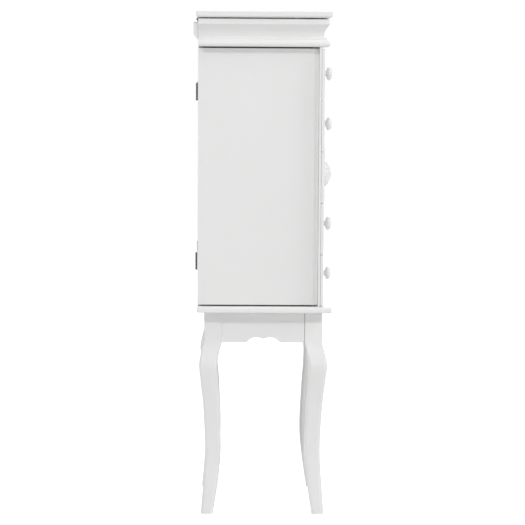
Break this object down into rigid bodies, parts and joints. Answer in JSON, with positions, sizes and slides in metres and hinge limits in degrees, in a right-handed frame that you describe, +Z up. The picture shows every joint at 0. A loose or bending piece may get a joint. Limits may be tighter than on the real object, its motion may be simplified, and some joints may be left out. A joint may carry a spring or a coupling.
{
  "type": "jewelry cabinet",
  "caption": "White jewelry cabinet on cabriole legs: flip-up mirror lid over a lined top compartment, lipped front drawers with turned knobs, and side doors over necklace hooks.",
  "frame": {"origin": "on the floor, under the centre of the whole cabinet's box", "axes": "+Z up; the drawers face -Y and pull out along -Y; the doors are on the -X and +X sides; the lid hinges are at the +Y side"},
  "size_m": [0.3792, 0.2814, 1],
  "materials": {
    "white_paint": "satin white paint over wood",
    "hinge_steel": "dark grey plated steel",
    "mirror_glass": "silvered glass",
    "ring_velvet": "short black velvet pile",
    "bumper_rubber": "clear soft rubber"
  },
  "bodies": {
    "carcass": {"base_plate": "white_paint", "leg_rear_right": "white_paint", "leg_rear_left": "white_paint", "leg_front_left": "white_paint", "leg_front_right": "white_paint", "apron_front": "white_paint", "apron_back": "white_paint", "apron_right": "white_paint", "apron_left": "white_paint", "back_panel": "white_paint", "partition_right": "white_paint", "partition_left": "white_paint", "corner_stile_right": "white_paint", "corner_stile_left": "white_paint", "magnet_catch_right": "hinge_steel", "magnet_catch_left": "hinge_steel", "hook_rail_right": "white_paint", "hook_rail_left": "white_paint", "cornice_front": "white_paint", "cornice_right": "white_paint", "cornice_left": "white_paint", "hinge_rail": "white_paint", "compartment_floor": "white_paint", "compartment_insert": "white_paint", "ring_cushion": "ring_velvet", "lid_bumper_right": "bumper_rubber", "lid_bumper_left": "bumper_rubber", "door_hinge_upper_frame_leaf_right": "hinge_steel", "door_hinge_upper_frame_leaf_left": "hinge_steel", "door_hinge_lower_frame_leaf_right": "hinge_steel", "door_hinge_lower_frame_leaf_left": "hinge_steel", "lid_hinge_frame_leaf_right": "hinge_steel", "lid_hinge_frame_leaf_left": "hinge_steel"},
    "lid": {"lid_board": "white_paint", "lid_mirror": "mirror_glass", "lid_hinge_lid_leaf_right": "hinge_steel", "lid_hinge_lid_leaf_left": "hinge_steel"},
    "door_right": {"door_panel_right": "white_paint", "door_hinge_upper_door_leaf_right": "hinge_steel", "door_hinge_lower_door_leaf_right": "hinge_steel"},
    "door_left": {"door_panel_left": "white_paint", "door_hinge_upper_door_leaf_left": "hinge_steel", "door_hinge_lower_door_leaf_left": "hinge_steel"},
    "drawer_1": {"drawer_1_front": "white_paint", "drawer_1_tray": "white_paint", "drawer_1_knob": "white_paint"},
    "drawer_2": {"drawer_2_front": "white_paint", "drawer_2_tray": "white_paint", "drawer_2_knob": "white_paint", "ornament_upper": "white_paint"},
    "drawer_3": {"drawer_3_front": "white_paint", "drawer_3_tray": "white_paint", "ornament_center": "white_paint"},
    "drawer_4": {"drawer_4_front": "white_paint", "drawer_4_tray": "white_paint", "drawer_4_knob": "white_paint", "ornament_lower": "white_paint"},
    "drawer_5": {"drawer_5_front": "white_paint", "drawer_5_tray": "white_paint", "drawer_5_knob": "white_paint"}
  },
  "joints": [
    {"name": "lid_hinge", "type": "hinge", "parent": "carcass", "child": "lid", "pos_m": [0, 0.13365, 0.985], "axis": [-1, 0, 0], "range_deg": [0, 95]},
    {"name": "door_right_hinge", "type": "hinge", "parent": "carcass", "child": "door_right", "pos_m": [0.155, 0.13365, 0.674], "axis": [0, 0, 1], "range_deg": [0, 110]},
    {"name": "door_left_hinge", "type": "hinge", "parent": "carcass", "child": "door_left", "pos_m": [-0.155, 0.13365, 0.674], "axis": [0, 0, -1], "range_deg": [0, 110]},
    {"name": "drawer_1_slide", "type": "slide", "parent": "carcass", "child": "drawer_1", "axis": [0, -1, 0], "range_m": [0, 0.15]},
    {"name": "drawer_2_slide", "type": "slide", "parent": "carcass", "child": "drawer_2", "axis": [0, -1, 0], "range_m": [0, 0.15]},
    {"name": "drawer_3_slide", "type": "slide", "parent": "carcass", "child": "drawer_3", "axis": [0, -1, 0], "range_m": [0, 0.15]},
    {"name": "drawer_4_slide", "type": "slide", "parent": "carcass", "child": "drawer_4", "axis": [0, -1, 0], "range_m": [0, 0.15]},
    {"name": "drawer_5_slide", "type": "slide", "parent": "carcass", "child": "drawer_5", "axis": [0, -1, 0], "range_m": [0, 0.15]}
  ]
}
